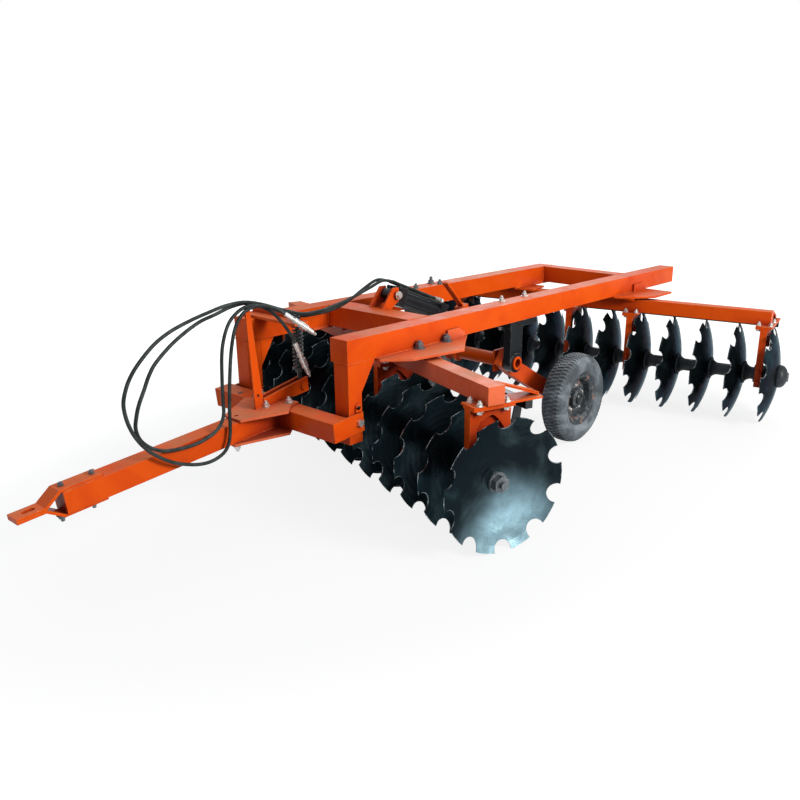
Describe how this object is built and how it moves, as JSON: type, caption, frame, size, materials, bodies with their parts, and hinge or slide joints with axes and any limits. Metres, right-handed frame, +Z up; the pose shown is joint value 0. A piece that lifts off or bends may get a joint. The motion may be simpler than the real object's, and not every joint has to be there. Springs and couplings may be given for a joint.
{
  "type": "offset disc harrow",
  "caption": "Towed offset disc harrow: two angled gangs of notched discs under a tube frame with drawbar, levelling rod and ram-lowered transport wheels.",
  "frame": {"origin": "on the ground, under the middle of the whole machine's outline", "axes": "+X the machine's left, -Y the way it is towed, +Z up"},
  "size_m": [2.9021, 4.9583, 1.0901],
  "materials": {
    "orange_paint": "gloss orange enamel",
    "disc_steel": "dark heat-treated steel, lightly oiled",
    "black_casting": "black enamel",
    "black_steel": "black enamel",
    "tyre": "dusty",
    "hose_rubber": "smooth rubber",
    "zinc": "zinc plated",
    "chrome_rod": "polished"
  },
  "bodies": {
    "frame": {"main_beam_left": "orange_paint", "main_beam_right": "orange_paint", "cross_members": "orange_paint", "front_legs": "orange_paint", "front_angle_plates": "orange_paint", "rear_angle_plates": "orange_paint", "front_gang_beam": "orange_paint", "rear_gang_beam": "orange_paint", "front_gang_stands": "orange_paint", "rear_gang_stands": "orange_paint", "gang_bearings": "black_casting", "front_scrapers": "black_steel", "rear_scrapers": "black_steel", "rockshaft_hangers": "black_steel", "ram_lugs": "orange_paint", "level_bracket": "orange_paint"},
    "front_gang": {"front_gang_discs": "disc_steel", "front_gang_spools": "black_casting", "front_gang_axle": "black_steel"},
    "rear_gang": {"rear_gang_discs": "disc_steel", "rear_gang_spools": "black_casting", "rear_gang_axle": "black_steel"},
    "drawbar": {"drawbar_tube": "orange_paint", "drawbar_cross_beam": "orange_paint", "drawbar_gussets": "orange_paint", "hitch_strap_top": "orange_paint", "hitch_strap_bottom": "orange_paint", "pivot_pins": "zinc", "hose_post": "orange_paint", "level_lever": "orange_paint", "hose_one": "hose_rubber", "hose_two": "hose_rubber", "coupler_one": "zinc", "coupler_two": "zinc"},
    "level_rod": {"level_rod": "black_steel", "level_spring": "black_steel"},
    "rockshaft": {"rockshaft_tube": "orange_paint", "wheel_arms": "orange_paint", "rockshaft_crank": "orange_paint"},
    "wheel_left": {"wheel_rim_left": "orange_paint", "tyre_left": "tyre"},
    "wheel_right": {"wheel_rim_right": "orange_paint", "tyre_right": "tyre"},
    "ram_body": {"ram_barrel": "black_steel", "ram_lines": "hose_rubber"},
    "ram_rod": {"ram_rod": "chrome_rod"}
  },
  "joints": [
    {"name": "rockshaft_turn", "type": "hinge", "parent": "frame", "child": "rockshaft", "pos_m": [-0.14684, 0.3386, 0.53966], "axis": [1, 0, 0], "range_deg": [-22, 20]},
    {"name": "drawbar_pitch", "type": "hinge", "parent": "frame", "child": "drawbar", "pos_m": [-0.17184, -1.0064, 0.49666], "axis": [1, 0, 0], "range_deg": [-8, 8], "deforming": ["hose_one", "hose_two"]},
    {"name": "front_gang_spin", "type": "hinge", "parent": "frame", "child": "front_gang", "pos_m": [-0.10884, -0.4604, 0.32666], "axis": [0.9489, -0.3156, 0], "continuous": true},
    {"name": "rear_gang_spin", "type": "hinge", "parent": "frame", "child": "rear_gang", "pos_m": [0.06516, 1.6636, 0.32666], "axis": [0.9799, 0.1994, 0], "continuous": true},
    {"name": "wheel_left_spin", "type": "hinge", "parent": "rockshaft", "child": "wheel_left", "pos_m": [0.50516, 0.6836, 0.285], "axis": [1, 0, 0], "continuous": true},
    {"name": "wheel_right_spin", "type": "hinge", "parent": "rockshaft", "child": "wheel_right", "pos_m": [-0.79884, 0.6836, 0.285], "axis": [1, 0, 0], "continuous": true},
    {"name": "ram_body_swing", "type": "hinge", "parent": "frame", "child": "ram_body", "pos_m": [-0.19684, -0.2594, 0.98266], "axis": [1, 0, 0], "range_deg": [-2, 2]},
    {"name": "ram_rod_slide", "type": "slide", "parent": "ram_body", "child": "ram_rod", "axis": [0, 0.9328, -0.3605], "range_m": [-0.072, 0.078]},
    {"name": "level_rod_swing", "type": "hinge", "parent": "drawbar", "child": "level_rod", "pos_m": [-0.17934, -0.96943, 0.59264], "axis": [1, 0, 0], "range_deg": [-10.6, 10.6], "deforming": ["level_spring"]}
  ],
  "couplings": [
    {"joint": "ram_body_swing", "follows": "rockshaft_turn", "ratio": -0.035},
    {"joint": "ram_rod_slide", "follows": "rockshaft_turn", "m_per_rad": -0.19},
    {"joint": "level_rod_swing", "follows": "drawbar_pitch", "ratio": -1.288}
  ]
}
